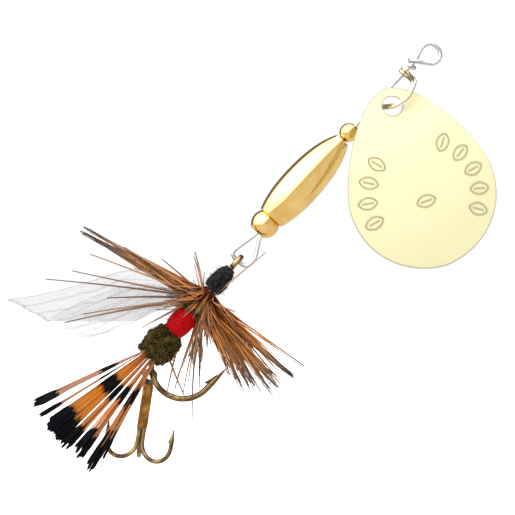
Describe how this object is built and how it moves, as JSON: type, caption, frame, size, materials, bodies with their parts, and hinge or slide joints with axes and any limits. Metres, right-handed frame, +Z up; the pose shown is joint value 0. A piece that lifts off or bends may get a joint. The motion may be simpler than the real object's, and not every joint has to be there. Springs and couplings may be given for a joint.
{
  "type": "inline spinner",
  "caption": "Inline spinner lure: pear-shaped gold blade on a clevis, turned brass body and beads on a wire shaft, and a feathered fly with a hook and a trailing treble.",
  "frame": {"origin": "inside the line eye, on the shaft wire's axis", "axes": "+Z up, with the shaft leaning 42.6 degrees from upright, its line eye towards +X, so that the blade and treble hang almost plumb; the shaft, blade, fly and hooks lie in the XZ plane, and -Y is the side that the blade's dome faces"},
  "size_m": [0.0801, 0.0157, 0.0709],
  "materials": {
    "steel_wire": "bright stainless spring wire",
    "clevis_brass": "bright brass wire",
    "gold_plate": "pale gold plate, buffed",
    "polished_brass": "polished",
    "bronzed_hook": "bronze lacquer over steel",
    "braze": "bronze braze, rough",
    "link_wire": "fine dark wire",
    "black_thread": "waxed tying thread",
    "red_floss": "silk floss, glossy",
    "peacock_herl": "fuzzy dark olive herl",
    "tippet_feather": "orange barbs with black bars",
    "white_quill": "thin translucent quill",
    "feather_quill": "stripped feather stem",
    "brown_hackle": "stiff rusty brown barbs"
  },
  "bodies": {
    "shaft": {"shaft_wire": "steel_wire"},
    "clevis": {"clevis": "clevis_brass"},
    "blade": {"blade": "gold_plate"},
    "upper_bead": {"upper_bead": "polished_brass"},
    "weight": {"body_weight": "polished_brass"},
    "lower_bead": {"lower_bead": "polished_brass"},
    "fly": {"fly_hook": "bronzed_hook", "thread_base": "black_thread", "stinger_link": "link_wire", "link_lashing": "black_thread", "tail": "tippet_feather", "rear_herl": "peacock_herl", "floss_band": "red_floss", "front_herl": "peacock_herl", "near_wing": "white_quill", "far_wing": "white_quill", "hackle_stem": "feather_quill", "hackle": "brown_hackle", "head_wraps": "black_thread"},
    "treble": {"treble_double_hook": "bronzed_hook", "treble_single_hook": "bronzed_hook", "treble_braze": "braze"}
  },
  "joints": [
    {"name": "clevis_spin", "type": "hinge", "parent": "shaft", "child": "clevis", "pos_m": [-0.00599, 0, -0.00651], "axis": [0.6769, 0, 0.7361], "continuous": true},
    {"name": "blade_swing", "type": "hinge", "parent": "clevis", "child": "blade", "pos_m": [-0.00585, -0.004, -0.00975], "axis": [0, 1, 0], "range_deg": [-20, 60]},
    {"name": "upper_bead_spin", "type": "hinge", "parent": "shaft", "child": "upper_bead", "pos_m": [-0.01277, 0, -0.01388], "axis": [0.6769, 0, 0.7361], "continuous": true},
    {"name": "body_spin", "type": "hinge", "parent": "shaft", "child": "weight", "pos_m": [-0.01983, 0, -0.02157], "axis": [0.6769, 0, 0.7361], "continuous": true},
    {"name": "lower_bead_spin", "type": "hinge", "parent": "shaft", "child": "lower_bead", "pos_m": [-0.02674, 0, -0.02908], "axis": [0.6769, 0, 0.7361], "continuous": true},
    {"name": "fly_swing", "type": "hinge", "parent": "shaft", "child": "fly", "pos_m": [-0.03129, 0, -0.03521], "axis": [0.7361, 0, -0.6769], "range_deg": [-75, 75]},
    {"name": "treble_swing", "type": "hinge", "parent": "fly", "child": "treble", "pos_m": [-0.04605, 0.0017, -0.05451], "axis": [0, 1, 0], "range_deg": [-25, 55]}
  ]
}
